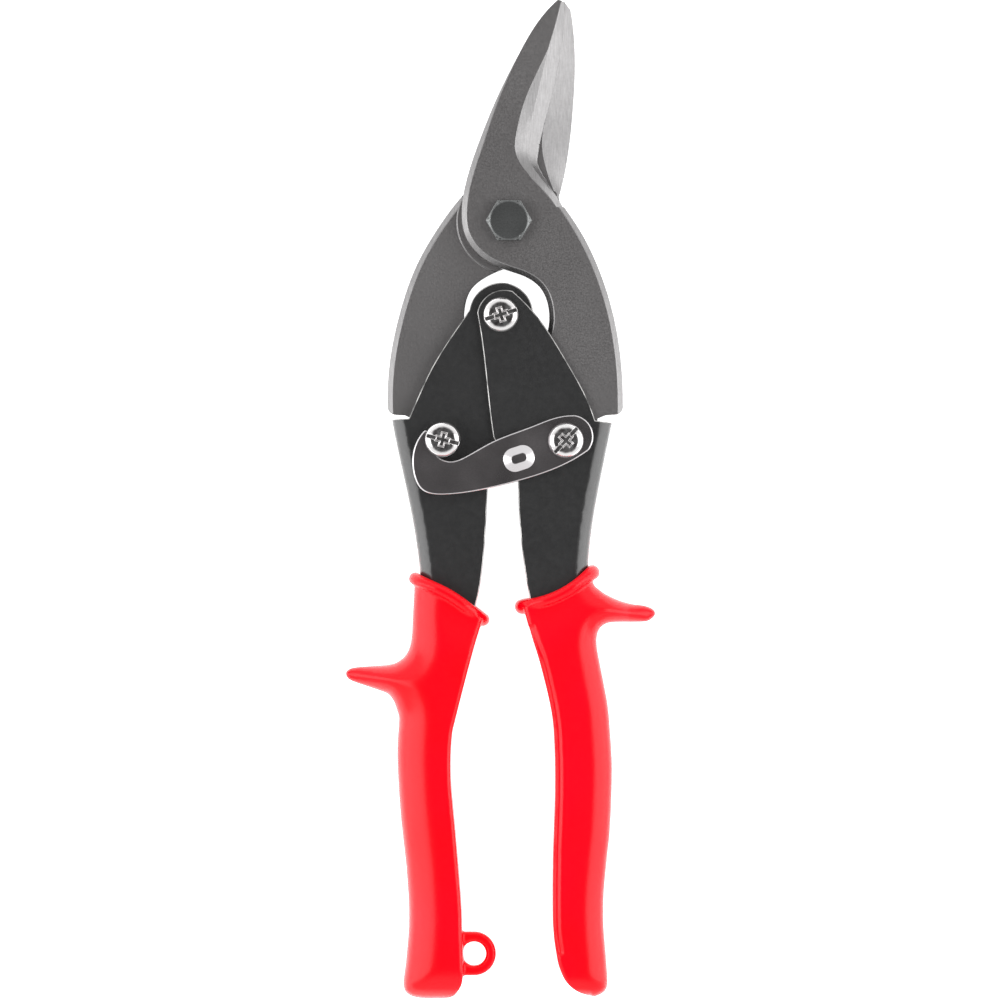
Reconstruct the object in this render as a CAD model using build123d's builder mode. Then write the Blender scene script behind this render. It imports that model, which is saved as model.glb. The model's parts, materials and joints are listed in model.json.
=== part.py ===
from build123d import *
import math
import os

os.makedirs("parts", exist_ok=True)

# Aviation snips lying flat: tips towards +Y, front towards +Z, bench at Z = 0.

# ---- driving sizes, mm ----------------------------------------------------
MID = 9.6              # height of the shear plane, half the grip thickness
SLIDE = 0.03           # each shear face stands this far off the shear plane
JAW = 4.5              # thickness of one jaw
TIP = 2.4              # thickness of one blade at its tip
RELIEF = 0.45          # rear jaw face drops this far outside its bearing disc
BEARING_R = 13.0       # bearing disc around the main pivot
SHOULDER_R = 2.0       # corner between a jaw's flank and its shoulder
RIM = 1.2              # chamfer along the jaws' outer edges
OVER = 0.2             # bevel cutters run this far past the metal
AIR = 1.0              # other cutters run this far past the metal
TAPER_FROM = 88.0      # the blades thin from here to TAPER_TO, just past their tips
TAPER_TO = 126.0
REAR_SLOPE = -2.0      # height of the rear blade's slanted face at its foot
RIDGE_Z = 3.1          # height of the ridge in the front blade's bevel
EDGE_LAND = 0.7        # blunt land left under the ground bevel
SHEET = 1.8            # handle sheet steel
CHANNEL = 10.9         # outside width of a folded handle
STEP = 1.9             # the two handles are staggered by one sheet and a gap
BEND_R = 3.5           # outside radius of the fold
GRIP_T = 2 * MID       # thickness of a grip
GRIP_END = -107.0      # how far the steel runs down inside the grips

PIVOT = (2.1, 69.5)    # both jaws turn here
HINGE = (0.1, 46.0)    # both handles turn here
PIN_L = (-14.4, 14.8)  # rear jaw tail to left handle
PIN_R = (16.3, 14.6)   # front jaw tail to right handle

M6_R = 3.0
M6_AF = 10.0           # across flats
PIVOT_HEAD = 4.0       # height of the pivot bolt's head
PIVOT_FACE_R = 4.4     # round face inside its chamfer
PIVOT_CHAMFER = 20     # degrees from the face
M5_R = 2.5
M5_AF = 8.0
RUN = 0.05             # running fit on the radius
LOOSE = 0.25           # the handle hinge takes up the linkage's small misfit
HEAD_R = 4.4
HEAD_H = 2.2
HEAD_DOME = 1.7        # radius that rounds the head over
SLOT_W = 1.0
SLOT_DEEP = 0.9
CROSS_W = 0.9
CROSS_FOOT = 3.2       # length of the cross at its foot, it widens towards the top
CROSS_DEEP = 1.5
CROSS_TAPER = 12
NUT_H = 3.0
NUT_CHAMFER = 35       # degrees from the nut's axis
NUT_FACE = 0.2         # the nut's round face is this much smaller than its flats
PIVOT_NUT_H = 3.6
PIVOT_WASHER_T = 1.2
PIVOT_WASHER_R = 6.0
PIVOT_END = -MID + 0.2    # the bolts stop just above the bench
SCREW_END = -MID + 0.1
RIGHT_SCREW_END = -7.8
SPACER_R = 5.5
COLLAR_R = 4.0
LATCH_WASHER_R = 4.3
SLEEVE_R = 3.4
LATCH_T = 1.6
LATCH_RIM = 0.4        # rounding along the latch's rim
LATCH_Z = 6.7          # latch plate above the shear plane
WIRE_R = 0.5
COIL_R = 4.6
COIL_PITCH = 1.05
COIL_TURNS = 1.5
SPRING_LEG = [(-5.0, -34.0), (-19.3, -54.0)]   # from the hinge, down inside a handle
LEG_BEND = 5.0
HEAD_GAP = 0.1         # between the latch and the two screw heads that stand level with it

LATCH_TOP = LATCH_Z + LATCH_T
RIGHT_BACK = -JAW                      # back face of the right handle
RIGHT_FRONT = RIGHT_BACK + CHANNEL
LEFT_BACK = RIGHT_BACK - STEP
LEFT_FRONT = RIGHT_FRONT - STEP


def level(z):
    """Plane parallel to the bench at a height above the shear plane."""
    return Plane.XY.offset(MID + z)


def shifted(points, dx):
    return [(x + dx, y) for x, y in points]


def inset(points, distance):
    """The points moved to the left of the way they run."""
    moved = []
    for i, (x, y) in enumerate(points):
        ax, ay = points[max(i - 1, 0)]
        bx, by = points[min(i + 1, len(points) - 1)]
        run = math.hypot(bx - ax, by - ay)
        moved.append((x - distance * (by - ay) / run, y + distance * (bx - ax) / run))
    return moved


def slope(top, top_z, foot, foot_z, far):
    """Cut the open part back to a slanted face between two outlines; far closes them outside it."""
    sections = []
    for outline, z in ((top, top_z), (foot, foot_z)):
        with BuildSketch(level(z)) as section:
            with BuildLine():
                Spline(*outline)
                Polyline(outline[-1], *far, outline[0])
            make_face()
        sections.append(section.sketch)
    loft(sections, ruled=True, mode=Mode.SUBTRACT)


def rim_cut(outline, side, face_z, up, far):
    """Chamfer a rim; side is +1 with metal left of the outline, up is +1 on a face that looks up."""
    slope(
        inset(outline, side * (RIM + OVER)),
        face_z + up * OVER,
        inset(outline, -side * OVER),
        face_z - up * (RIM + OVER),
        far,
    )


# ---- outlines, each as few points as its curve needs -----------------------
BLADE_SIDE = [(34, 125.4), (34, 73)]       # closes the cutters of the ground faces beside the blades
JAW_SIDE = [(45, 75), (45, 21.2)]
# front jaw: back edge from the tip round the pivot to the tail, flank from shoulder to throat, cutting edge
FRONT_BACK = [(14.4, 125.0), (9.0, 118.9), (3.9, 110.0), (-0.6, 101.0), (-4.4, 91.9), (-7.6, 82.9),
              (-9.7, 72.0), (-8.9, 66.0), (-4.5, 60.3), (2.0, 57.1), (6.0, 55.7), (9.9, 52.9),
              (12.0, 48.0), (11.8, 42.0)]
FRONT_FLANK = [(30.6, 21.2), (30.4, 31.0), (28.7, 43.8), (25.2, 55.9), (19.4, 67.9), (14.5, 75.0),
               (9.2, 84.2)]
FRONT_TAIL = [(8.3, 17.0), (15.6, 6.6), (24.3, 14.6)]
FRONT_SHOULDER = [(24.3, 20.1), (26.2, 20.9)]
FRONT_EDGE = [(9.2, 84.2), (10.1, 90.0), (12.1, 98.0), (14.0, 106.0), (15.3, 114.0), (16.0, 124.4)]
# ground bevel of the front blade: where it leaves the face, its middle ridge, its foot
BEVEL_TOP = [(14.0, 73.0), (8.0, 80.0), (3.9, 86.0), (3.4, 92.0), (3.7, 100.0), (5.4, 107.5),
             (9.5, 116.0), (13.9, 125.4)]
BEVEL_RIDGE = [(14.3, 73.0), (10.6, 79.6), (6.7, 86.5), (7.2, 92.0), (8.7, 99.0), (10.6, 107.0),
               (12.9, 116.0), (15.2, 125.4)]
BEVEL_FOOT = [(15.9, 73.0), (12.0, 79.0), (9.2, 84.2), (10.1, 90.0), (12.1, 98.0), (14.0, 106.0),
              (15.5, 116.0), (16.1, 125.4)]
# rear jaw
REAR_BACK = [(17.6, 122.6), (18.7, 108.0), (18.2, 98.0), (16.9, 86.0), (14.6, 75.5)]
REAR_CROOK = [(0.7, 57.6), (-3.0, 56.0), (-7.3, 52.6), (-9.1, 46.3), (-8.9, 41.0)]
REAR_FLANK = [(-28.2, 21.2), (-27.7, 34.8), (-25.2, 46.8), (-20.9, 58.9), (-15.7, 67.9), (-9.3, 76.3),
              (-3.0, 81.6)]
REAR_TAIL = [(-6.4, 17.0), (-14.0, 6.8), (-22.4, 14.8)]
REAR_SHOULDER = [(-22.4, 20.3), (-24.0, 21.0)]
REAR_BODY = (-13, 37)            # the part of the rear jaw that is set back, and its size
REAR_BODY_SIZE = (54, 80)
REAR_EDGE = [(8.4, 86.5), (9.5, 92.0), (11.1, 98.0), (13.0, 106.0), (14.4, 114.0), (15.3, 124.5)]
REAR_SLOPE_TOP = [(14.6, 74.0), (12.6, 79.0), (11.0, 84.0), (10.3, 90.0), (12.0, 98.0), (13.9, 106.0),
                  (15.2, 114.0), (16.2, 125.4)]
REAR_SLOPE_FOOT = [(16.6, 74.0), (15.9, 79.0), (16.5, 84.0), (17.4, 90.0), (18.2, 98.0), (18.7, 106.0),
                   (18.5, 114.0), (17.9, 125.4)]
# handles: outside of the web, then the open side of the channel
RIGHT_WEB = [(27.9, 19.0), (26.2, 10.8), (24.4, 1.8), (22.5, -10.0), (21.7, -24.0), (22.4, -42.0),
             (24.6, -60.0), (24.9, -73.0), (23.8, -90.0), (23.0, GRIP_END)]
RIGHT_MOUTH = [(16.0, GRIP_END), (15.8, -90.0), (15.9, -70.0), (14.6, -55.0), (10.5, -38.0),
               (6.8, -22.0), (4.9, -7.3), (4.4, 4.2)]
RIGHT_NECK_OUT = [(3.0, 51.9), (10.0, 44.5), (17.0, 33.5), (21.4, 25.4), (23.6, 19.6)]
RIGHT_NECK_IN = [(-1.8, 15.5), (-3.0, 25.0), (-5.0, 42.0), (-5.8, 46.5)]
LEFT_WEB = [(-27.2, 19.9), (-25.4, 10.8), (-23.4, 1.8), (-21.2, -10.0), (-19.7, -24.0), (-20.2, -42.0),
            (-22.7, -59.0), (-22.8, -70.0), (-21.1, -90.0), (-20.1, GRIP_END)]
LEFT_MOUTH = [(-12.2, GRIP_END), (-12.9, -90.0), (-15.0, -68.0), (-13.9, -55.0), (-10.2, -40.0),
              (-5.6, -24.0), (-3.8, -9.0), (-3.2, 3.5)]
LEFT_NECK_OUT = [(-7.7, 47.2), (-12.0, 41.0), (-17.0, 33.0), (-20.6, 25.4), (-22.9, 20.1)]
LEFT_NECK_IN = [(0.6, 13.0), (3.2, 24.0), (6.6, 36.0), (8.1, 45.0)]
NICK = (-28, 24)                 # nick in the left fold, and its size
NICK_SIZE = (16, 11.6)
NICK_GAP = 0.1
FOLD_LENGTH = 120                # only the two folds are longer edges than this
# what is cut away to open each channel: everything from its fold past its mouth and its upper end
RIGHT_OPEN = [(23, -115), (-20, -115), (-20, 60), (32, 60), (32, 19.4)]
LEFT_OPEN = [(-20, -115), (20, -115), (20, 60), (-32, 60), (-32, 20.3)]
# latch plate: underside from the hook's tip to the eye, then back over the top to the hook's throat
LATCH_UNDER = [(-19.1, 16.9), (-21.2, 13.6), (-21.9, 8.0), (-19.4, 2.2), (-13.0, 1.1), (-4.0, 2.4),
               (6.0, 4.9), (18.0, 9.6), (22.0, 12.2)]
LATCH_OVER = [(18.6, 20.9), (14.0, 20.4), (8.0, 18.2), (-2.0, 14.3), (-8.5, 10.7), (-12.5, 9.4),
              (-15.6, 10.6), (-17.3, 13.2), (-18.1, 16.6)]

# ---- jaws ------------------------------------------------------------------
with BuildPart() as front_jaw:
    with BuildSketch(level(SLIDE)) as front_jaw_face:
        with BuildLine():
            Spline(*FRONT_BACK)
            Line(FRONT_BACK[-1], FRONT_TAIL[0])
            ThreePointArc(*FRONT_TAIL)
            Polyline(FRONT_TAIL[-1], *FRONT_SHOULDER, FRONT_FLANK[0])
            Spline(*FRONT_FLANK)
            Spline(*FRONT_EDGE)
            Line(FRONT_EDGE[-1], FRONT_BACK[0])
        make_face()
        fillet(front_jaw_face.vertices().sort_by(Axis.X)[-1], SHOULDER_R)
    extrude(amount=JAW - SLIDE)
    chamfer(front_jaw.edges().group_by(Axis.Z)[-1].sort_by(SortBy.LENGTH)[-1], RIM)
    for face_z, up in ((JAW, 1), (SLIDE, -1)):
        rim_cut(FRONT_FLANK[:-1], 1, face_z, up, JAW_SIDE)
    # blade thins towards the tip
    with BuildSketch(Plane.YZ.offset(-20)):
        with BuildLine():
            Polyline(
                (TAPER_FROM, MID + JAW),
                (TAPER_TO, MID + TIP),
                (TAPER_TO, MID + JAW + AIR),
                (TAPER_FROM, MID + JAW + AIR),
                close=True,
            )
        make_face()
    extrude(amount=50, mode=Mode.SUBTRACT)
    # ground bevel in two facets
    slope(BEVEL_TOP, JAW + 0.02, BEVEL_RIDGE, RIDGE_Z, BLADE_SIDE)
    slope(BEVEL_RIDGE, RIDGE_Z, BEVEL_FOOT, EDGE_LAND, BLADE_SIDE)
    for place, radius in ((PIVOT, M6_R), (PIN_R, M5_R)):
        with BuildSketch(level(0)):
            with Locations(place):
                Circle(radius + RUN)
        extrude(amount=JAW + AIR, mode=Mode.SUBTRACT)
front_jaw.part.label = "front_jaw"
export_step(front_jaw.part, "parts/front_jaw.step")


with BuildPart() as rear_jaw:
    with BuildSketch(level(-JAW)) as rear_jaw_face:
        with BuildLine():
            Polyline(REAR_EDGE[-1], (15.9, 124.7), REAR_BACK[0])
            Spline(*REAR_BACK)
            ThreePointArc(REAR_BACK[-1], (11.4, 61.5), REAR_CROOK[0])
            Spline(*REAR_CROOK)
            Line(REAR_CROOK[-1], REAR_TAIL[0])
            ThreePointArc(*REAR_TAIL)
            Polyline(REAR_TAIL[-1], *REAR_SHOULDER, REAR_FLANK[0])
            Spline(*REAR_FLANK)
            Line(REAR_FLANK[-1], REAR_EDGE[0])
            Spline(*REAR_EDGE)
        make_face()
        fillet(rear_jaw_face.vertices().sort_by(Axis.X)[0], SHOULDER_R)
    extrude(amount=JAW - SLIDE)
    # face stands back outside the bearing disc
    with BuildSketch(level(-RELIEF)):
        with Locations(REAR_BODY):
            Rectangle(*REAR_BODY_SIZE)
        with Locations(PIVOT):
            Circle(BEARING_R, mode=Mode.SUBTRACT)
    extrude(amount=AIR, mode=Mode.SUBTRACT)
    with BuildSketch(Plane.YZ.offset(-30)):
        with BuildLine():
            Polyline(
                (TAPER_FROM, MID - JAW),
                (TAPER_TO, MID - TIP),
                (TAPER_TO, MID - JAW - AIR),
                (TAPER_FROM, MID - JAW - AIR),
                close=True,
            )
        make_face()
    extrude(amount=60, mode=Mode.SUBTRACT)
    # visible face of the blade slopes back from the shear face
    slope(REAR_SLOPE_TOP, 0.0, REAR_SLOPE_FOOT, REAR_SLOPE, BLADE_SIDE)
    for face_z, up in ((-RELIEF, 1), (-JAW, -1)):
        rim_cut(REAR_FLANK[:-1], -1, face_z, up, [(-x, y) for x, y in JAW_SIDE])
    for place, radius in ((PIVOT, M6_R), (PIN_L, M5_R + RUN)):
        with BuildSketch(level(-JAW - AIR)):
            with Locations(place):
                Circle(radius)
        extrude(amount=JAW + 2 * AIR, mode=Mode.SUBTRACT)
rear_jaw.part.label = "rear_jaw"
export_step(rear_jaw.part, "parts/rear_jaw.step")

# ---- handles, each folded from one sheet ------------------------------------
with BuildPart() as right_handle:
    with BuildSketch(level(RIGHT_BACK)):
        with BuildLine():
            Spline(*RIGHT_WEB)
            Line(RIGHT_WEB[-1], RIGHT_MOUTH[0])
            Spline(*RIGHT_MOUTH)
            Line(RIGHT_MOUTH[-1], RIGHT_NECK_IN[0])
            Spline(*RIGHT_NECK_IN)
            ThreePointArc(RIGHT_NECK_IN[-1], (-1.8, 51.6), RIGHT_NECK_OUT[0])
            Spline(*RIGHT_NECK_OUT)
            Line(RIGHT_NECK_OUT[-1], RIGHT_WEB[0])
        make_face()
    extrude(amount=CHANNEL)
    folds = right_handle.edges().filter_by(lambda e: e.length > FOLD_LENGTH and e.center().X > PIN_R[0])
    fillet(folds, BEND_R)
    with BuildSketch(level(RIGHT_BACK + SHEET)):
        inside = shifted(RIGHT_WEB, -SHEET)
        with BuildLine():
            Spline(*inside)
            Polyline(inside[-1], *RIGHT_OPEN, inside[0])
        make_face()
    extrude(amount=CHANNEL - 2 * SHEET, mode=Mode.SUBTRACT)
    for place, radius in ((HINGE, M5_R), (PIN_R, M5_R)):
        with BuildSketch(level(RIGHT_BACK - AIR)):
            with Locations(place):
                Circle(radius)
        extrude(amount=CHANNEL + 2 * AIR, mode=Mode.SUBTRACT)
right_handle.part.label = "right_handle"
export_step(right_handle.part, "parts/right_handle.step")

with BuildPart() as left_handle:
    with BuildSketch(level(LEFT_BACK)):
        with BuildLine():
            Spline(*LEFT_WEB)
            Line(LEFT_WEB[-1], LEFT_MOUTH[0])
            Spline(*LEFT_MOUTH)
            Line(LEFT_MOUTH[-1], LEFT_NECK_IN[0])
            Spline(*LEFT_NECK_IN)
            ThreePointArc(LEFT_NECK_IN[-1], (1.0, 54.0), LEFT_NECK_OUT[0])
            Spline(*LEFT_NECK_OUT)
            Line(LEFT_NECK_OUT[-1], LEFT_WEB[0])
        make_face()
    extrude(amount=CHANNEL)
    folds = left_handle.edges().filter_by(lambda e: e.length > FOLD_LENGTH and e.center().X < PIN_L[0])
    fillet(folds, BEND_R)
    with BuildSketch(level(LEFT_BACK + SHEET)):
        inside = shifted(LEFT_WEB, SHEET)
        with BuildLine():
            Spline(*inside)
            Polyline(inside[-1], *LEFT_OPEN, inside[0])
        make_face()
    extrude(amount=CHANNEL - 2 * SHEET, mode=Mode.SUBTRACT)
    # the fold is nicked so that the rear jaw's shoulder can come down
    with BuildSketch(level(-JAW - NICK_GAP)):
        with Locations(NICK):
            Rectangle(*NICK_SIZE)
    extrude(amount=JAW + 6 * NICK_GAP, mode=Mode.SUBTRACT)
    for place, radius in ((HINGE, M5_R + LOOSE), (PIN_L, M5_R)):
        with BuildSketch(level(LEFT_BACK - AIR)):
            with Locations(place):
                Circle(radius)
        extrude(amount=CHANNEL + 2 * AIR, mode=Mode.SUBTRACT)
left_handle.part.label = "left_handle"
export_step(left_handle.part, "parts/left_handle.step")


# ---- latch -------------------------------------------------------------------
RIB = (4.6, 10.1)      # centre of the thumb rib
RIB_TURN = 18
RIB_ROUND = 0.7
RIB_FOOT = (7.8, 6.0, 2.8, LATCH_TOP)   # width, depth, corner, height
RIB_TOP = (3.9, 2.2, 1.0, LATCH_TOP + 1.3)

with BuildPart() as latch:
    with BuildSketch(level(LATCH_Z)):
        with BuildLine():
            Spline(*LATCH_UNDER)
            ThreePointArc(LATCH_UNDER[-1], (22.6, 17.9), LATCH_OVER[0])
            Spline(*LATCH_OVER)
            ThreePointArc(LATCH_OVER[-1], (-18.6, 17.1), LATCH_UNDER[0])
        make_face()
    extrude(amount=LATCH_T)
    fillet(latch.edges().filter_by(Plane.XY), LATCH_RIM)
    with BuildSketch(level(LATCH_Z)):
        with Locations(PIN_R):
            Circle(M5_R + RUN)
    extrude(amount=LATCH_T, mode=Mode.SUBTRACT)
    # pressed thumb rib
    for width, depth, corner, z in (RIB_FOOT, RIB_TOP):
        with BuildSketch(level(z)):
            with Locations(Location((*RIB, 0), (0, 0, RIB_TURN))):
                RectangleRounded(width, depth, corner)
    loft()
    fillet(latch.edges().group_by(Axis.Z)[-1], RIB_ROUND)
latch.part.label = "latch"
export_step(latch.part, "parts/latch.step")

# ---- grips --------------------------------------------------------------------
GRIP_ROUND = 5.6       # rounding of the grip's long edges
BELOW_MOUTH = -30      # those edges lie below the grip's mouth
SPUR_T = 9.0           # thickness of the finger spurs
RING_R = 5.45
RING_HOLE_R = 3.0
RING_T = 3.6
RING = (-6.5, -113.8)

LEFT_GRIP_OUT = [(-21.7, -22.4), (-22.0, -31.0), (-23.2, -42.0), (-25.2, -54.0), (-25.8, -66.0),
                 (-24.6, -83.0), (-23.1, -100.0), (-23.2, -111.0), (-24.0, -121.0)]
LEFT_GRIP_IN = [(-9.8, -120.0), (-9.7, -104.0), (-11.0, -86.0), (-12.5, -67.0), (-11.6, -56.0),
                (-7.9, -42.0), (-4.9, -31.8)]
LEFT_SPUR = [(-21.5, -37.0), (-25.0, -40.6), (-31.0, -41.8), (-37.9, -42.9), (-38.3, -45.1),
             (-32.0, -47.4), (-27.4, -49.6), (-24.5, -54.0)]
LEFT_COLLAR = [(-23.0, -19.7), (-3.0, -29.2), (-3.7, -31.6), (-23.2, -22.0)]
RIGHT_GRIP_OUT = [(23.6, -20.5), (24.2, -34.0), (25.7, -46.0), (27.4, -58.0), (27.9, -70.0),
                  (26.7, -90.0), (25.7, -104.0), (26.6, -120.0)]
RIGHT_GRIP_IN = [(14.6, -117.0), (13.1, -103.0), (13.2, -86.0), (13.7, -67.0), (12.9, -54.0),
                 (10.2, -42.0), (6.3, -28.8)]
RIGHT_SPUR = [(22.4, -20.0), (27.0, -24.3), (32.5, -26.2), (38.0, -27.1), (38.4, -29.7),
              (33.0, -30.8), (26.8, -31.2), (22.5, -36.0)]
RIGHT_COLLAR = [(24.6, -17.4), (4.6, -26.4), (4.2, -29.2), (24.8, -19.8)]

with BuildPart() as left_grip:
    with BuildSketch(level(-MID)):
        with BuildLine():
            Spline(*LEFT_GRIP_OUT)
            ThreePointArc(LEFT_GRIP_OUT[-1], (-17.3, -125.0), LEFT_GRIP_IN[0])
            Spline(*LEFT_GRIP_IN)
            Line(LEFT_GRIP_IN[-1], LEFT_GRIP_OUT[0])
        make_face()
    extrude(amount=GRIP_T)
    long_edges = left_grip.edges().filter_by(Plane.XY).filter_by(lambda e: e.center().Y < BELOW_MOUTH)
    fillet(long_edges, GRIP_ROUND)
    with BuildSketch(level(-SPUR_T / 2)):
        with BuildLine():
            Spline(*LEFT_SPUR)
            Line(LEFT_SPUR[-1], LEFT_SPUR[0])
        make_face()
    extrude(amount=SPUR_T)
    # rolled collar along the slanted mouth
    with BuildSketch(level(-MID)):
        with BuildLine():
            Polyline(*LEFT_COLLAR, close=True)
        make_face()
    extrude(amount=GRIP_T)
    with BuildSketch(level(-RING_T / 2)):
        with Locations(RING):
            Circle(RING_R)
        with Locations((RING[0] - 5, RING[1])):
            Rectangle(10, 2 * RING_R)
    extrude(amount=RING_T)
    with BuildSketch(level(-MID)):
        with Locations(RING):
            Circle(RING_HOLE_R)
    extrude(amount=GRIP_T, mode=Mode.SUBTRACT)
    # socket for the folded handle
    with BuildSketch(level(LEFT_BACK)):
        with BuildLine():
            Spline(*LEFT_WEB)
            Line(LEFT_WEB[-1], LEFT_MOUTH[0])
            Spline(*LEFT_MOUTH)
            Line(LEFT_MOUTH[-1], LEFT_WEB[0])
        make_face()
    extrude(amount=CHANNEL, mode=Mode.SUBTRACT)
left_grip.part.label = "left_grip"
export_step(left_grip.part, "parts/left_grip.step")

with BuildPart() as right_grip:
    with BuildSketch(level(-MID)):
        with BuildLine():
            Spline(*RIGHT_GRIP_OUT)
            ThreePointArc(RIGHT_GRIP_OUT[-1], (22.0, -124.1), RIGHT_GRIP_IN[0])
            Spline(*RIGHT_GRIP_IN)
            Line(RIGHT_GRIP_IN[-1], RIGHT_GRIP_OUT[0])
        make_face()
    extrude(amount=GRIP_T)
    long_edges = right_grip.edges().filter_by(Plane.XY).filter_by(lambda e: e.center().Y < BELOW_MOUTH)
    fillet(long_edges, GRIP_ROUND)
    with BuildSketch(level(-SPUR_T / 2)):
        with BuildLine():
            Spline(*RIGHT_SPUR)
            Line(RIGHT_SPUR[-1], RIGHT_SPUR[0])
        make_face()
    extrude(amount=SPUR_T)
    with BuildSketch(level(-MID)):
        with BuildLine():
            Polyline(*RIGHT_COLLAR, close=True)
        make_face()
    extrude(amount=GRIP_T)
    with BuildSketch(level(RIGHT_BACK)):
        with BuildLine():
            Spline(*RIGHT_WEB)
            Line(RIGHT_WEB[-1], RIGHT_MOUTH[0])
            Spline(*RIGHT_MOUTH)
            Line(RIGHT_MOUTH[-1], RIGHT_WEB[0])
        make_face()
    extrude(amount=CHANNEL, mode=Mode.SUBTRACT)
right_grip.part.label = "right_grip"
export_step(right_grip.part, "parts/right_grip.step")

# ---- turned and bought-in pieces -----------------------------------------------


def pan_screw(place, head_z, end_z, slot_angle):
    """M5 pan-head screw with a slot across a cross recess."""
    with BuildPart() as screw:
        with BuildSketch(level(head_z)):
            with Locations(place):
                Circle(HEAD_R)
        extrude(amount=HEAD_H)
        fillet(screw.edges().group_by(Axis.Z)[-1], HEAD_DOME)
        with BuildSketch(level(end_z)):
            with Locations(place):
                Circle(M5_R)
        extrude(amount=head_z - end_z)
        with BuildSketch(level(head_z + HEAD_H - SLOT_DEEP)):
            with Locations(Location((place[0], place[1], 0), (0, 0, slot_angle))):
                Rectangle(2 * HEAD_R + AIR, SLOT_W)
        extrude(amount=SLOT_DEEP, mode=Mode.SUBTRACT)
        with BuildSketch(level(head_z + HEAD_H - CROSS_DEEP)):
            with Locations(Location((place[0], place[1], 0), (0, 0, slot_angle))):
                Rectangle(CROSS_FOOT, CROSS_W)
                Rectangle(CROSS_W, CROSS_FOOT)
        extrude(amount=CROSS_DEEP, taper=-CROSS_TAPER, mode=Mode.SUBTRACT)
    return screw.part


def hex_nut(place, top_z, height, flats, bore):
    """Plain nut with chamfered corners."""
    with BuildPart() as nut:
        with BuildSketch(level(top_z - height)):
            with Locations(place):
                RegularPolygon(flats / 2, 6, major_radius=False)
        extrude(amount=height)
        with BuildSketch(level(top_z - height)):
            with Locations(place):
                Circle(flats / 2 - NUT_FACE)
        extrude(amount=height, taper=-NUT_CHAMFER, mode=Mode.INTERSECT)
        with BuildSketch(level(top_z - height)):
            with Locations(place):
                Circle(bore)
        extrude(amount=height, mode=Mode.SUBTRACT)
    return nut.part


def ring(place, low_z, high_z, outer, bore):
    """Washer, spacer or sleeve."""
    with BuildPart() as piece:
        with BuildSketch(level(low_z)):
            with Locations(place):
                Circle(outer)
                Circle(bore, mode=Mode.SUBTRACT)
        extrude(amount=high_z - low_z)
    return piece.part


def spring_half(turn_y, leg):
    """Half of the coil and one leg; turn_y flips it to the other side."""
    low = WIRE_R + RUN
    rise = COIL_PITCH * COIL_TURNS
    with BuildPart() as piece:
        with BuildLine() as wire:
            coil = Helix(pitch=COIL_PITCH, height=rise, radius=COIL_R, center=(0, 0, low))
            FilletPolyline(coil @ 1, *[(x, y, low + rise) for x, y in leg], radius=LEG_BEND)
        with BuildSketch(Plane(origin=coil @ 0, z_dir=coil % 0)):
            Circle(WIRE_R)
        sweep(path=wire.wires()[0], is_frenet=True)
    flipped = piece.part.rotate(Axis.Y, 180 * turn_y)
    return flipped.moved(Location((HINGE[0], HINGE[1], MID)))


with BuildPart() as pivot_bolt:
    with BuildSketch(level(JAW)):
        with Locations(PIVOT):
            RegularPolygon(M6_AF / 2, 6, major_radius=False)
    extrude(amount=PIVOT_HEAD)
    # flat chamfer round the face of the head
    with BuildSketch(Plane((*PIVOT, MID + JAW), x_dir=(1, 0, 0), z_dir=(0, -1, 0))):
        with BuildLine():
            Polyline(
                (PIVOT_FACE_R, PIVOT_HEAD),
                (M6_AF, PIVOT_HEAD),
                (M6_AF, PIVOT_HEAD - (M6_AF - PIVOT_FACE_R) * math.tan(math.radians(PIVOT_CHAMFER))),
                close=True,
            )
        make_face()
    revolve(axis=Axis((*PIVOT, 0), (0, 0, 1)), mode=Mode.SUBTRACT)
    with BuildSketch(level(PIVOT_END)):
        with Locations(PIVOT):
            Circle(M6_R)
    extrude(amount=JAW - PIVOT_END)

pieces = {
    "pivot_bolt": pivot_bolt.part,
    "pivot_washer": ring(PIVOT, -JAW - PIVOT_WASHER_T, -JAW, PIVOT_WASHER_R, M6_R),
    "pivot_nut": hex_nut(PIVOT, -JAW - PIVOT_WASHER_T, PIVOT_NUT_H, M6_AF, M6_R),
    "handle_screw": pan_screw(HINGE, RIGHT_FRONT, SCREW_END, 17),
    "handle_nut": hex_nut(HINGE, LEFT_BACK, NUT_H, M5_AF, M5_R),
    "left_jaw_screw": pan_screw(PIN_L, LATCH_TOP + HEAD_GAP, SCREW_END, -14),
    "left_jaw_nut": hex_nut(PIN_L, LEFT_BACK, NUT_H, M5_AF, M5_R),
    "left_jaw_spacer": ring(PIN_L, -RELIEF, LEFT_FRONT - SHEET, SPACER_R, M5_R + RUN),
    "left_screw_collar": ring(PIN_L, LEFT_FRONT, LATCH_Z - HEAD_GAP, COLLAR_R, M5_R),
    "right_jaw_screw": pan_screw(PIN_R, LATCH_TOP + HEAD_GAP, RIGHT_SCREW_END, 48),
    "right_jaw_nut": hex_nut(PIN_R, RIGHT_BACK, NUT_H, M5_AF, M5_R),
    "right_jaw_spacer": ring(PIN_R, RIGHT_BACK + SHEET, SLIDE, SPACER_R, M5_R + RUN),
    "latch_washer": ring(PIN_R, RIGHT_FRONT, LATCH_Z, LATCH_WASHER_R, M5_R),
    "spring_sleeve": ring(HINGE, RIGHT_BACK + SHEET, LEFT_FRONT - SHEET, SLEEVE_R, M5_R),
    "spring_left": spring_half(0, SPRING_LEG),
    "spring_right": spring_half(1, SPRING_LEG),
}
for name, piece in pieces.items():
    piece.label = name
    export_step(piece, f"parts/{name}.step")
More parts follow.
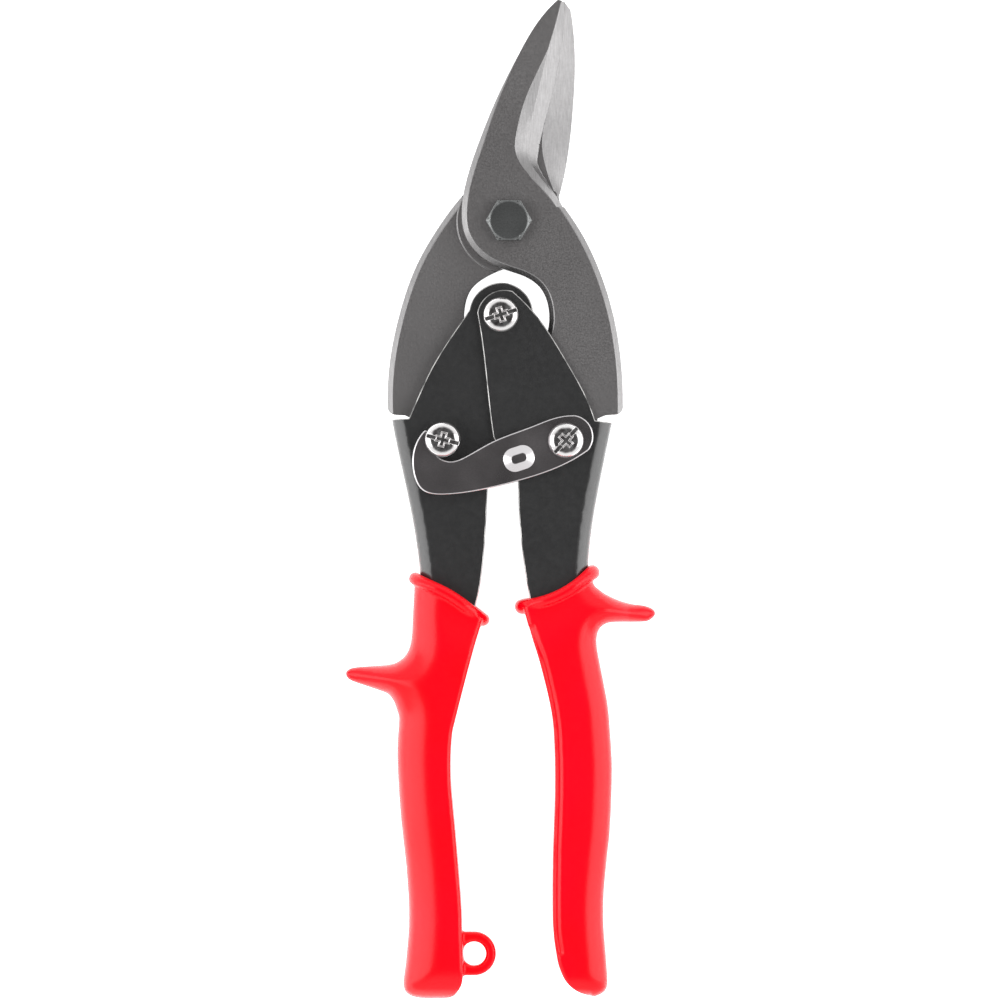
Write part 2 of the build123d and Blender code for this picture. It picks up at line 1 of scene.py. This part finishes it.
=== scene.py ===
import bpy
import json
import math
import numpy as np
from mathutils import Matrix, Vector


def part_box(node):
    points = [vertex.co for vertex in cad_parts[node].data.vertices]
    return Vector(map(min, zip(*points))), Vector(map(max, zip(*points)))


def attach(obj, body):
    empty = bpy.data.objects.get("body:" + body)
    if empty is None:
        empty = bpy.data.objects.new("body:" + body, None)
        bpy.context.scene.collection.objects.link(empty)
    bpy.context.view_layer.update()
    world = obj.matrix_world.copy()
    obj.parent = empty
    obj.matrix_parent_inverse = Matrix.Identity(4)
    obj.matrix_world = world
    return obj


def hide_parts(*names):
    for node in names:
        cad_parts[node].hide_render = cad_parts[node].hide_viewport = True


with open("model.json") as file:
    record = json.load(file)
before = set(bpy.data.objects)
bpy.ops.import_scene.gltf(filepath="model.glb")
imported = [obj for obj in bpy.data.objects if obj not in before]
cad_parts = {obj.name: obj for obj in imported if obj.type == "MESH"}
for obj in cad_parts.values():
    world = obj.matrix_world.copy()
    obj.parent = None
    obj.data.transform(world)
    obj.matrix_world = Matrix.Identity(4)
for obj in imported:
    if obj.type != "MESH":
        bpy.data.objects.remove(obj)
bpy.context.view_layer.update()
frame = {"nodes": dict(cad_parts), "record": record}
nodes = frame["nodes"]

MM = 0.001
GRIP_LOW, GRIP_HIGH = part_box("left_grip")
MID_Z = (GRIP_LOW[2] + GRIP_HIGH[2]) / 2      # shear plane, half-way up the grips
HALF_T = (GRIP_HIGH[2] - GRIP_LOW[2]) / 2
VIEW_WIDTH = 250.5 * MM                       # what the picture takes in, side to side
CAMERA_AWAY = 1.6
SENSOR = 36.0
FAR_ENOUGH = 20                               # nothing lies farther from the camera
FLOOR_HALF = 6.0
TENT = ((0.74, 1.0), (0.86, 0.66), (0.96, 0.17), (1.0, 0.09))     # height in the tent, brightness
TENT_STRENGTH = 1.05
SOFTBOX = (0.6, 1.5)
SOFTBOX_AT = (0.85, 0.0, 0.52)
SOFTBOX_POWER = 5.5
CORNER_TURN = 40                              # corners sharper than this are rounded, degrees
FLAT_TURN = 0.2                               # faces that turn less than this are one flat face


# ---- camera, floor and light ------------------------------------------------------------------
def make_camera():
    data = bpy.data.cameras.new("camera")
    data.sensor_width = SENSOR
    data.lens = SENSOR * CAMERA_AWAY / VIEW_WIDTH
    data.clip_end = FAR_ENOUGH
    camera = bpy.data.objects.new("camera", data)
    camera.location = (-0.12 * MM, -0.25 * MM, MID_Z + CAMERA_AWAY)
    bpy.context.scene.collection.objects.link(camera)
    bpy.context.scene.camera = camera


def softbox(name, place):
    """Area light that faces the middle of the snips."""
    data = bpy.data.lights.new(name, "AREA")
    data.shape = "RECTANGLE"
    data.size, data.size_y = SOFTBOX
    data.energy = SOFTBOX_POWER
    lamp = bpy.data.objects.new(name, data)
    lamp.location = place
    aim = Vector((0, 0, MID_Z)) - Vector(place)
    lamp.rotation_euler = aim.to_track_quat("-Z", "Y").to_euler()
    bpy.context.scene.collection.objects.link(lamp)


def make_floor():
    size = FLOOR_HALF
    mesh = bpy.data.meshes.new("floor")
    corners = [(-size, -size, 0), (size, -size, 0), (size, size, 0), (-size, size, 0)]
    mesh.from_pydata(corners, [], [(0, 1, 2, 3)])
    floor = bpy.data.objects.new("floor", mesh)
    bpy.context.scene.collection.objects.link(floor)
    material, tree, shader = new_material("floor_white", (0.95, 0.95, 0.95), roughness=0.9)
    shader.inputs["Emission Color"].default_value = (1, 1, 1, 1)
    shader.inputs["Emission Strength"].default_value = 0.9
    floor.data.materials.append(material)


def make_light():
    """A light tent: white walls all round and a small dark opening above, where the camera is."""
    scene = bpy.context.scene
    world = bpy.data.worlds.new("light_tent")
    world.use_nodes = True
    tree = world.node_tree
    place = add(tree, "ShaderNodeTexCoord")
    split = add(tree, "ShaderNodeSeparateXYZ")
    tree.links.new(place.outputs["Generated"], split.inputs["Vector"])
    walls = add(tree, "ShaderNodeValToRGB")
    stops = walls.color_ramp.elements
    first, *between, last = TENT
    for stop, (height, level) in ((stops[0], first), (stops[1], last)):
        stop.position = height
        stop.color = (level, level, level, 1)
    for height, level in between:
        stops.new(height).color = (level, level, level, 1)
    tree.links.new(split.outputs["Z"], walls.inputs["Fac"])
    background = tree.nodes["Background"]
    tree.links.new(walls.outputs["Color"], background.inputs["Color"])
    background.inputs["Strength"].default_value = TENT_STRENGTH
    scene.world = world
    scene.view_settings.view_transform = "Standard"
    x, y, z = SOFTBOX_AT
    softbox("softbox_right", (x, y, z))
    softbox("softbox_left", (-x, y, z))


# ---- materials --------------------------------------------------------------------------------
def new_material(name, color, metallic=0.0, roughness=0.5):
    material = bpy.data.materials.new(name)
    material.use_nodes = True
    tree = material.node_tree
    shader = tree.nodes["Principled BSDF"]
    shader.inputs["Base Color"].default_value = (*color, 1)
    shader.inputs["Metallic"].default_value = metallic
    shader.inputs["Roughness"].default_value = roughness
    return material, tree, shader


def add(tree, kind, **settings):
    node = tree.nodes.new(kind)
    for key, value in settings.items():
        setattr(node, key, value)
    return node


def noise(tree, scale, detail=3.0, stretch=(1, 1, 1)):
    """Noise in the object's own metres; stretch makes streaks."""
    place = add(tree, "ShaderNodeTexCoord")
    mapping = add(tree, "ShaderNodeMapping")
    mapping.inputs["Scale"].default_value = stretch
    tree.links.new(place.outputs["Object"], mapping.inputs["Vector"])
    texture = add(tree, "ShaderNodeTexNoise")
    texture.inputs["Scale"].default_value = scale
    texture.inputs["Detail"].default_value = detail
    tree.links.new(mapping.outputs["Vector"], texture.inputs["Vector"])
    return texture.outputs["Fac"]


def ramp(tree, value, low, high, first, second):
    """Colour from first to second as value goes from low to high."""
    node = add(tree, "ShaderNodeValToRGB")
    node.color_ramp.elements[0].position = low
    node.color_ramp.elements[1].position = high
    node.color_ramp.elements[0].color = (*first, 1)
    node.color_ramp.elements[1].color = (*second, 1)
    tree.links.new(value, node.inputs["Fac"])
    return node.outputs["Color"]


def spread(tree, value, low, high):
    """Number from low to high as value goes from 0.3 to 0.7."""
    node = add(tree, "ShaderNodeMapRange")
    node.inputs["From Min"].default_value = 0.3
    node.inputs["From Max"].default_value = 0.7
    node.inputs["To Min"].default_value = low
    node.inputs["To Max"].default_value = high
    tree.links.new(value, node.inputs["Value"])
    return node.outputs["Result"]


def mix_color(tree, factor, first, second):
    node = add(tree, "ShaderNodeMix", data_type="RGBA")
    tree.links.new(factor, node.inputs["Factor"])
    tree.links.new(first, node.inputs["A"])
    tree.links.new(second, node.inputs["B"])
    return node.outputs["Result"]


def bump(tree, shader, height, strength, distance):
    node = add(tree, "ShaderNodeBump")
    node.inputs["Strength"].default_value = strength
    node.inputs["Distance"].default_value = distance
    tree.links.new(height, node.inputs["Height"])
    tree.links.new(node.outputs["Normal"], shader.inputs["Normal"])


def facing_up(tree, low, high):
    """1 where the surface squarely faces the front or the back, 0 on slopes and edges."""
    place = add(tree, "ShaderNodeTexCoord")
    split = add(tree, "ShaderNodeSeparateXYZ")
    tree.links.new(place.outputs["Normal"], split.inputs["Vector"])
    size = add(tree, "ShaderNodeMath", operation="ABSOLUTE")
    tree.links.new(split.outputs["Z"], size.inputs[0])
    node = add(tree, "ShaderNodeMapRange")
    node.inputs["From Min"].default_value = low
    node.inputs["From Max"].default_value = high
    tree.links.new(size.outputs["Value"], node.inputs["Value"])
    return node.outputs["Result"]


def metal(name, dark, light, rough_low, rough_high, grain=2600, stretch=(1, 1, 1), bump_mm=0.01):
    material, tree, shader = new_material(name, light, metallic=1.0)
    fine = noise(tree, grain, 4.0, stretch)
    broad = noise(tree, 70, 2.0)
    tree.links.new(ramp(tree, fine, 0.3, 0.7, dark, light), shader.inputs["Base Color"])
    tree.links.new(spread(tree, broad, rough_low, rough_high), shader.inputs["Roughness"])
    bump(tree, shader, fine, 0.35, bump_mm * MM)
    return material


def jaw_steel():
    """Satin forged faces, ground bevels with fine grinding lines."""
    material, tree, shader = new_material("jaw_steel", (0.45, 0.44, 0.44), metallic=1.0)
    flat = facing_up(tree, 0.97, 0.995)
    grain = noise(tree, 2400, 5.0)
    cloud = noise(tree, 45, 2.0)
    lines = noise(tree, 900, 4.0, (6, 0.35, 1))
    forged = ramp(tree, cloud, 0.3, 0.7, (0.250, 0.240, 0.241), (0.288, 0.278, 0.279))
    ground = ramp(tree, lines, 0.3, 0.7, (0.225, 0.220, 0.221), (0.285, 0.280, 0.281))
    tree.links.new(mix_color(tree, flat, ground, forged), shader.inputs["Base Color"])
    tree.links.new(spread(tree, grain, 0.32, 0.44), shader.inputs["Roughness"])
    bump(tree, shader, grain, 0.15, 0.012 * MM)
    return material


def latch_steel():
    """Dull plated sheet with a painted highlight wherever it slopes: its rims and the flanks of its
    boss are painted bright.
    """
    material, tree, shader = new_material("latch_steel", (0.4, 0.38, 0.38), metallic=1.0)
    flat = facing_up(tree, 0.93, 0.985)
    grain = noise(tree, 2600, 4.0, (1, 3, 1))
    cloud = noise(tree, 90, 2.0)
    flat_face_color = ramp(tree, grain, 0.3, 0.7, (0.205, 0.19, 0.195), (0.24, 0.225, 0.23))
    # painted highlight: every sloping face, the rims and the boss flanks alike, gets this brighter
    # colour
    painted_slope_highlight = ramp(tree, cloud, 0.3, 0.7, (0.66, 0.64, 0.65), (0.74, 0.72, 0.73))
    tree.links.new(mix_color(tree, flat, painted_slope_highlight, flat_face_color), shader.inputs["Base Color"])
    tree.links.new(spread(tree, cloud, 0.26, 0.34), shader.inputs["Roughness"])
    bump(tree, shader, grain, 0.25, 0.008 * MM)
    return material


def black_paint():
    material, tree, shader = new_material("handle_paint", (0.03, 0.03, 0.03))
    peel = noise(tree, 900, 3.0)
    cloud = noise(tree, 60, 2.0)
    tree.links.new(ramp(tree, cloud, 0.3, 0.7, (0.013, 0.013, 0.0135), (0.017, 0.017, 0.0175)),
                   shader.inputs["Base Color"])
    tree.links.new(spread(tree, peel, 0.30, 0.40), shader.inputs["Roughness"])
    shader.inputs["Coat Weight"].default_value = 1.0
    shader.inputs["Coat Roughness"].default_value = 0.22
    bump(tree, shader, peel, 0.15, 0.02 * MM)
    return material


def red_vinyl():
    material, tree, shader = new_material("grip_red", (0.85, 0.002, 0.01))
    cloud = noise(tree, 40, 2.0)
    skin = noise(tree, 1400, 3.0)
    tree.links.new(ramp(tree, cloud, 0.3, 0.7, (0.88, 0.0, 0.006), (0.93, 0.0, 0.011)),
                   shader.inputs["Base Color"])
    tree.links.new(spread(tree, skin, 0.20, 0.26), shader.inputs["Roughness"])
    shader.inputs["IOR"].default_value = 1.36
    bump(tree, shader, skin, 0.05, 0.01 * MM)
    return material


def chrome():
    """Plating painted bright on the domes as a painted highlight, and painted darker as painted shade
    mottled with grime on faces that squarely face the front or back: the flat tops and the floors of
    the recesses.
    """
    material, tree, shader = new_material("chrome", (0.9, 0.9, 0.9), metallic=1.0)
    flat = facing_up(tree, 0.9, 0.98)
    grime_and_shade = noise(tree, 900, 3.0)
    cloud = noise(tree, 200, 2.0)
    # painted shade mottled with grime: faces squarely facing the front or back get this darker colour
    flat_face_color = ramp(tree, grime_and_shade, 0.35, 0.65, (0.30, 0.28, 0.28), (0.80, 0.79, 0.79))
    # painted highlight: the sloping faces of the domes get this brighter colour
    painted_slope_highlight = ramp(tree, cloud, 0.3, 0.7, (0.76, 0.74, 0.74), (0.86, 0.85, 0.85))
    tree.links.new(mix_color(tree, flat, painted_slope_highlight, flat_face_color), shader.inputs["Base Color"])
    tree.links.new(spread(tree, cloud, 0.12, 0.22), shader.inputs["Roughness"])
    bump(tree, shader, grime_and_shade, 0.25, 0.03 * MM)
    return material


def wear_and_edge_highlight():
    """Paint rubbed thin on a corner, with the steel showing through in places, and a painted
    highlight: every bevelled corner gets this lighter colour.
    """
    material, tree, shader = new_material("wear_and_edge_highlight", (0.4, 0.4, 0.4), metallic=0.7, roughness=0.35)
    rub = noise(tree, 260, 4.0)
    tree.links.new(ramp(tree, rub, 0.35, 0.6, (0.10, 0.10, 0.10), (0.55, 0.54, 0.53)),
                   shader.inputs["Base Color"])
    tree.links.new(spread(tree, rub, 0.45, 0.3), shader.inputs["Roughness"])
    return material


MATERIALS = {
    "jaw_steel": jaw_steel(),
    "handle_paint": black_paint(),
    "grip_red": red_vinyl(),
    "chrome": chrome(),
    "wear_and_edge_highlight": wear_and_edge_highlight(),
    "zinc": metal("zinc", (0.50, 0.50, 0.48), (0.66, 0.66, 0.64), 0.28, 0.38),
    "bolt_steel": metal("bolt_steel", (0.155, 0.16, 0.16), (0.20, 0.205, 0.205), 0.30, 0.38),
    "spring_steel": metal("spring_steel", (0.30, 0.30, 0.31), (0.42, 0.42, 0.43), 0.25, 0.35),
    "latch_steel": latch_steel(),
}


# ---- grips ------------------------------------------------------------------------------------
# Outlines are seen from the front, in millimetres in the frame's X and Y.
LEFT_OUTER = [
    (-21.2, -10), (-21.5, -20), (-22, -30), (-22.2, -34), (-22.7, -37), (-23.7, -39), (-25, -40.3),
    (-27, -41.3), (-30, -41.7), (-36, -42.1), (-38.2, -42.8), (-38.7, -44), (-37.5, -45.4),
    (-33, -47), (-30, -48), (-28, -48.9), (-26.8, -50.5), (-26, -52.5), (-25.4, -55), (-25.7, -60),
    (-25.8, -66), (-25, -79), (-23.5, -93), (-22.9, -105), (-23.6, -115), (-24.3, -121.5),
    (-23, -124), (-20, -124.9), (-16, -125)]
LEFT_INNER = [
    (-13, -124.7), (-11, -123.3), (-9.4, -119.3), (-9.6, -108), (-9.9, -100), (-11.2, -84),
    (-12.4, -70), (-12.2, -60), (-11, -54), (-7, -38.5), (-4.8, -31), (-2.4, -22), (-0.5, -10)]
RIGHT_OUTER = [
    (22.9, -8), (23, -18), (23.3, -21.2), (25, -22.9), (27, -24.2), (30, -25.5), (33, -26.3),
    (36, -26.7), (38.2, -27.6), (38.7, -29), (37, -30.5), (34, -30.8), (28, -30.8), (25.6, -31.6),
    (24.3, -33.4), (24.1, -37), (25.6, -45), (26.8, -51.5), (27.4, -58), (27.9, -68), (27.4, -82),
    (26.6, -90), (25.8, -99), (25.8, -107), (26.5, -116), (26.6, -122), (24, -124.2), (22, -124)]
RIGHT_INNER = [
    (19, -122.7), (16.5, -120.5), (15, -117.7), (14, -114), (13.1, -106), (13.1, -90),
    (13.6, -74), (13.5, -62), (12.7, -53), (10, -41.5), (8, -35), (6.4, -29.6), (5.2, -24),
    (3.5, -12)]
LEFT_SLEEVE = [(-19.2, -12), (-19.8, -26), (-20, -36), (-9.2, -37), (-5.9, -25), (-4.2, -12)]
RIGHT_SLEEVE = [(22, -12), (21.7, -24), (22, -36), (10, -36), (6.9, -22.5), (5.4, -12)]
SEAM = [(7.9, -32), (9.3, -36), (11.3, -41.8), (13.8, -53), (14.6, -62), (14.7, -74), (14.2, -90),
        (14.2, -106), (15, -113)]
# cuff: ends of the collar's line; bow: how far the collar arches up from it; lump: how much it swells
# at its ends; sleeve_back, sleeve_front: faces of the handle inside; palm_round: rounding of the
# side that lies in the hand
LEFT_GRIP = dict(
    outer=LEFT_OUTER, inner=LEFT_INNER, sleeve=LEFT_SLEEVE, cuff=((-21.4, -19.9), (-4.3, -30.2)),
    bow=1.0, sleeve_back=-6.4, sleeve_front=4.5, palm_round=9.0, lump=0.15, ring=True)
RIGHT_GRIP = dict(
    outer=RIGHT_OUTER, inner=RIGHT_INNER, sleeve=RIGHT_SLEEVE, cuff=((5.3, -27.0), (23.1, -18.3)),
    bow=-1.4, sleeve_back=-4.5, sleeve_front=6.4, palm_round=6.0, lump=0.4, seam=SEAM)
SPUR_FROM = 26.0       # the spurs start to thin at this distance from the middle line
SPUR_HALF = 2.9        # half their thickness at the tip
SPUR_REACH = 14        # the thinning covers this far up and down from the tip
CRISP_ROUND = 1.1      # rounding of the rims where the palm's fuller rounding doesn't reach
CRISP_POWER = 2.15     # 2 rounds a rim to a circle, more makes it squarer
PALM_POWER = 2.3
NECK_THIN = 1.2        # the grip is this much thinner at its collar than at mid length
NECK_FADE = 8          # and is full again about this far from it
COLLAR_R = 1.42
COLLAR_IN = 1.4        # the collar's line runs this far inside the grip's faces
COLLAR_ROUND = 7.0
LUMP_LENGTH = 2.6
RING_CENTER = (-6.6, -113.8)
RING_OUTER = 5.45
RING_HOLE = 3.0
RING_HALF = 1.8
RING_ROUND = 0.8
RING_ROOT = -14        # the ring's tab ends inside the grip, at this X
SEAM_R = 0.5
POCKET_ROUND = 3.0
POCKET_GAP = 0.05
SOFT_COLLAR = 0.6      # fillets where the collar, the ring and the seam meet the grip
SOFT_RING = 0.7
SOFT_SEAM = 0.5
HAND_SIDE = 40         # X past everything on the palm's far side
VOXEL = 0.31           # size of the cells that a skin is found in
MARGIN = 3             # they reach this far past the outline, and a little past the faces
MARGIN_Z = 1.1


def smooth(points, closed=True, steps=6):
    """Catmull-Rom curve through the points."""
    p = np.array(points, float)
    if closed:
        p = np.vstack([p[-1], p, p[0], p[1]])
    else:
        p = np.vstack([2 * p[0] - p[1], p, 2 * p[-1] - p[-2]])
    curve = []
    for a, b, c, d in zip(p, p[1:], p[2:], p[3:]):
        for t in np.arange(steps) / steps:
            curve.append(b + (c - a) * t / 2 + (2 * a - 5 * b + 4 * c - d) * t**2 / 2
                         + (3 * b - a - 3 * c + d) * t**3 / 2)
    curve.append(p[-2])
    return np.array(curve)


def distance(x, y, line):
    best = np.full(x.shape, 1e3)
    for (ax, ay), (bx, by) in zip(line, line[1:]):
        dx, dy = bx - ax, by - ay
        along = np.clip(((x - ax) * dx + (y - ay) * dy) / (dx * dx + dy * dy), 0, 1)
        best = np.minimum(best, np.hypot(x - ax - along * dx, y - ay - along * dy))
    return best


def inside_by(x, y, loop):
    """Distance to a closed outline, negative inside it."""
    inside = np.zeros(x.shape, bool)
    for (ax, ay), (bx, by) in zip(loop, loop[1:]):
        crosses = (ay > y) != (by > y)
        inside ^= crosses & (x < ax + (y - ay) / ((by - ay) or 1) * (bx - ax))
    return np.where(inside, -1, 1) * distance(x, y, loop)


def soften(flat, passes=16):
    """Blurs away the crease along the middle of a shape, and leaves the distances near its edge."""
    blurred = flat
    for _ in range(passes):
        for axis in (0, 1):
            blurred = (2 * blurred + np.roll(blurred, 1, axis) + np.roll(blurred, -1, axis)) / 4
    deep = np.clip(-flat - 0.6, 0, 1)
    return flat + (blurred - flat) * deep


def pillow(flat, z, half, rounding, power=2.0):
    """Slab of an outline with its front and back rims rounded over."""
    side = flat + rounding
    top = np.abs(z) - half + rounding
    outer = (np.maximum(side, 0) ** power + np.maximum(top, 0) ** power) ** (1 / power)
    return np.minimum(np.maximum(side, top), 0) + outer - rounding


def join(a, b, soft):
    """Both shapes, with a fillet of about this size between them."""
    mix = np.clip(0.5 + 0.5 * (b - a) / soft, 0, 1)
    return b + (a - b) * mix - soft * mix * (1 - mix)


def skin(field, origin, step):
    """Vertices and quads of the surface where the field passes zero, negative being inside."""
    cells = np.array(field.shape) - 1
    total = np.zeros((*cells, 3))
    count = np.zeros(cells)
    index = np.arange(cells.prod()).reshape(cells)
    quads = []
    for axis in range(3):
        first = np.moveaxis(np.moveaxis(field, axis, 0)[:-1], 0, axis)
        second = np.moveaxis(np.moveaxis(field, axis, 0)[1:], 0, axis)
        crossed = np.argwhere((first < 0) != (second < 0))
        a = first[tuple(crossed.T)]
        b = second[tuple(crossed.T)]
        point = crossed.astype(float)
        point[:, axis] += a / (a - b)
        around = []
        for du, dv in ((0, 0), (-1, 0), (-1, -1), (0, -1)):
            cell = crossed.copy()
            cell[:, (axis + 1) % 3] += du
            cell[:, (axis + 2) % 3] += dv
            np.add.at(total, tuple(cell.T), point)
            np.add.at(count, tuple(cell.T), 1)
            around.append(index[tuple(cell.T)])
        quad = np.stack(around, 1)
        quad[a >= 0] = quad[a >= 0][:, ::-1]
        quads.append(quad)
    quads = np.vstack(quads)
    used, quads = np.unique(quads, return_inverse=True)
    vertices = total.reshape(-1, 3)[used] / count.reshape(-1)[used, None]
    return settle(vertices, field) * step + origin, quads.reshape(-1, 4)


def settle(vertices, field):
    """Moves vertices, in cells, onto the zero of the field."""
    slopes = np.gradient(field)
    for _ in range(2):
        value = sample(field, vertices)
        slope = np.stack([sample(one, vertices) for one in slopes], 1)
        vertices = vertices - slope * (value / (slope**2).sum(1))[:, None]
    return vertices


def sample(field, points):
    low = np.clip(np.floor(points).astype(int), 0, np.array(field.shape) - 2)
    part = points - low
    value = 0
    for corner in np.ndindex(2, 2, 2):
        weight = np.abs(1 - np.array(corner) - part).prod(1)
        value = value + weight * field[tuple((low + corner).T)]
    return value


def beside_cuff(cuff, x, y):
    """Places along and above the collar's line, from its middle, and half its length."""
    start, end = (np.array(p) for p in cuff)
    across = (end - start) / np.linalg.norm(end - start)
    up = np.array([-across[1], across[0]])
    middle = (start + end) / 2
    along = (x - middle[0]) * across[0] + (y - middle[1]) * across[1]
    above = (x - middle[0]) * up[0] + (y - middle[1]) * up[1]
    return along, above, np.linalg.norm(end - start) / 2


def spur_taper(outer, x, y):
    """0 over the grip, rising to 1 at the tip of the finger spur."""
    tip = max(outer, key=lambda point: abs(point[0]))
    taper = np.clip((np.abs(x) - SPUR_FROM) / (abs(tip[0]) - SPUR_FROM), 0, 1)
    return np.where(np.abs(y - tip[1]) < SPUR_REACH, taper**2 * (3 - 2 * taper), 0)


def grip_body(grip, outline, x, y, z, above):
    """The grip and its spur: small rounding on all rims, a full one on the side towards the palm."""
    palm = smooth(grip["outer"], closed=False)
    away = -math.copysign(HAND_SIDE, palm[0, 0])
    palm = np.vstack([palm, (away, palm[-1, 1]), (away, palm[0, 1]), palm[:1]])
    neck = HALF_T / MM - 0.1 - NECK_THIN * np.exp(-(above / NECK_FADE) ** 2)
    half = (neck + (SPUR_HALF - neck) * spur_taper(grip["outer"], x, y))[:, :, None]
    flat = soften(inside_by(x, y, outline))[:, :, None]
    crisp = pillow(flat, z, half, np.minimum(CRISP_ROUND, 0.95 * half), CRISP_POWER)
    flat = soften(inside_by(x, y, palm))[:, :, None]
    full = pillow(flat, z, half, np.minimum(grip["palm_round"], 0.95 * half), PALM_POWER)
    return np.maximum(crisp, full)


def add_collar(field, grip, z, along, above, reach):
    """Ends the grip along its bowed mouth, with a rolled collar round it."""
    rise = grip["bow"] * (1 - np.clip(along / reach, -1, 1) ** 2) ** 1.5
    field = np.maximum(field, (above - rise)[:, :, None])
    rim = pillow((np.abs(along) - reach)[:, :, None], z, HALF_T / MM - COLLAR_IN, COLLAR_ROUND)
    swell = COLLAR_R + grip["lump"] * np.exp(-((np.abs(along) - reach) / LUMP_LENGTH) ** 2)
    return join(field, np.hypot((above - rise)[:, :, None], rim) - swell[:, :, None], SOFT_COLLAR)


def add_ring(field, x, y, z):
    """The hanging ring and the tab that joins it to the grip."""
    from_hole = np.hypot(x - RING_CENTER[0], y - RING_CENTER[1])
    root = np.maximum(np.abs(y - RING_CENTER[1]) - RING_OUTER, x - RING_CENTER[0])
    root = np.maximum(root, RING_ROOT - x)
    eye = np.maximum(np.minimum(from_hole - RING_OUTER, root), RING_HOLE - from_hole)
    return join(field, pillow(eye[:, :, None], z, RING_HALF, RING_ROUND), SOFT_RING)


def cut_seam(field, x, y, seam):
    """A shallow groove along the moulded seam."""
    groove = distance(x, y, smooth(seam, closed=False))
    return -join(-field, np.hypot(groove[:, :, None], field) - SEAM_R, SOFT_SEAM)


def cut_pocket(field, grip, x, y, z):
    """Room for the folded handle at the grip's mouth."""
    sleeve = grip["sleeve"]
    flat = inside_by(x, y, np.vstack([sleeve, sleeve[:1]]))[:, :, None]
    middle = (grip["sleeve_back"] + grip["sleeve_front"]) / 2
    half = (grip["sleeve_front"] - grip["sleeve_back"]) / 2 + POCKET_GAP
    return np.maximum(field, -pillow(flat - POCKET_GAP, z - middle, half, POCKET_ROUND))


def make_grip(name, node, body, grip):
    """A vinyl grip as one smooth skin, in place of its plain CAD node."""
    outline = smooth(grip["outer"] + grip["inner"])
    low = outline.min(0) - MARGIN
    high = outline.max(0) + MARGIN
    half = HALF_T / MM
    across = np.arange(low[0], high[0], VOXEL)
    along = np.arange(low[1], high[1], VOXEL)
    z = np.arange(-half - MARGIN_Z, half + MARGIN_Z, VOXEL)
    origin = np.array([across[0], along[0], z[0]])
    x, y = np.meshgrid(across, along, indexing="ij")
    z = z[None, None, :]

    along, above, reach = beside_cuff(grip["cuff"], x, y)
    field = grip_body(grip, outline, x, y, z, above)
    field = add_collar(field, grip, z, along, above, reach)
    if "ring" in grip:
        field = add_ring(field, x, y, z)
    if "seam" in grip:
        field = cut_seam(field, x, y, grip["seam"])
    field = cut_pocket(field, grip, x, y, z)

    vertices, quads = skin(field, origin, VOXEL)
    vertices = vertices * MM + (0, 0, MID_Z)
    mesh = bpy.data.meshes.new(name)
    mesh.from_pydata(vertices.tolist(), [], quads.tolist())
    mesh.update()
    mesh.shade_smooth()
    mesh.materials.append(MATERIALS["grip_red"])
    skin_object = bpy.data.objects.new(name, mesh)
    bpy.context.scene.collection.objects.link(skin_object)
    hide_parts(node)
    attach(skin_object, body)


def mark_sharp(mesh, degrees):
    """Sharp edges where neighbouring faces turn by more than this, also across a split in the mesh."""
    place = np.empty(len(mesh.vertices) * 3)
    mesh.vertices.foreach_get("co", place)
    _, same = np.unique(place.reshape(-1, 3).round(6), axis=0, return_inverse=True)
    same = same.reshape(-1)
    faces_at = {}
    for face in mesh.polygons:
        for a, b in face.edge_keys:
            faces_at.setdefault(tuple(sorted((same[a], same[b]))), []).append(face.normal)
    turn = math.cos(math.radians(degrees))
    sharp = []
    for edge in mesh.edges:
        a, b = edge.vertices
        normals = faces_at.get(tuple(sorted((same[a], same[b]))), [])
        sharp.append(len(normals) != 2 or normals[0].dot(normals[1]) < turn)
    if "custom_normal" in mesh.attributes:
        mesh.attributes.remove(mesh.attributes["custom_normal"])
    mesh.shade_smooth()
    for edge, is_sharp in zip(mesh.edges, sharp):
        edge.use_edge_sharp = bool(is_sharp)


def finish_node(name, material, bevel_mm, corner=None, sharp_from=32):
    """Gives a CAD node its material, and rounds its corners a little so that they catch the light."""
    node = nodes[name]
    node.data.materials.clear()
    node.data.materials.append(MATERIALS[material])
    mark_sharp(node.data, sharp_from)
    weld = node.modifiers.new("weld", "WELD")
    weld.merge_threshold = 0.002 * MM
    flats = node.modifiers.new("flats", "DECIMATE")
    flats.decimate_type = "DISSOLVE"
    flats.angle_limit = math.radians(FLAT_TURN)
    flats.delimit = {"SHARP"}
    bevel = node.modifiers.new("bevel", "BEVEL")
    bevel.width = bevel_mm * MM
    bevel.segments = 2
    bevel.limit_method = "ANGLE"
    bevel.angle_limit = math.radians(CORNER_TURN)
    bevel.use_clamp_overlap = False
    if corner:
        node.data.materials.append(MATERIALS[corner])
        bevel.material = 1
    weighted = node.modifiers.new("normals", "WEIGHTED_NORMAL")
    weighted.mode = "FACE_AREA"
    weighted.weight = 90
    weighted.keep_sharp = True


make_camera()
make_floor()
make_light()

for part in frame["record"]["subparts"]:
    name = part["node"]
    slot = part["material_slot"]
    if slot == "grip_red":
        continue
    if slot == "handle_paint":
        # the handles' bevelled corners get the lighter corner material: partly wear, partly a painted
        # highlight
        finish_node(name, slot, 0.22, corner="wear_and_edge_highlight")
    elif slot == "jaw_steel":
        finish_node(name, slot, 0.15, sharp_from=14)
    elif slot in ("chrome", "latch_steel"):
        finish_node(name, slot, 0.06)
    else:
        finish_node(name, slot, 0.15)

make_grip("left_grip_skin", "left_grip", "left_handle", LEFT_GRIP)
make_grip("right_grip_skin", "right_grip", "right_handle", RIGHT_GRIP)
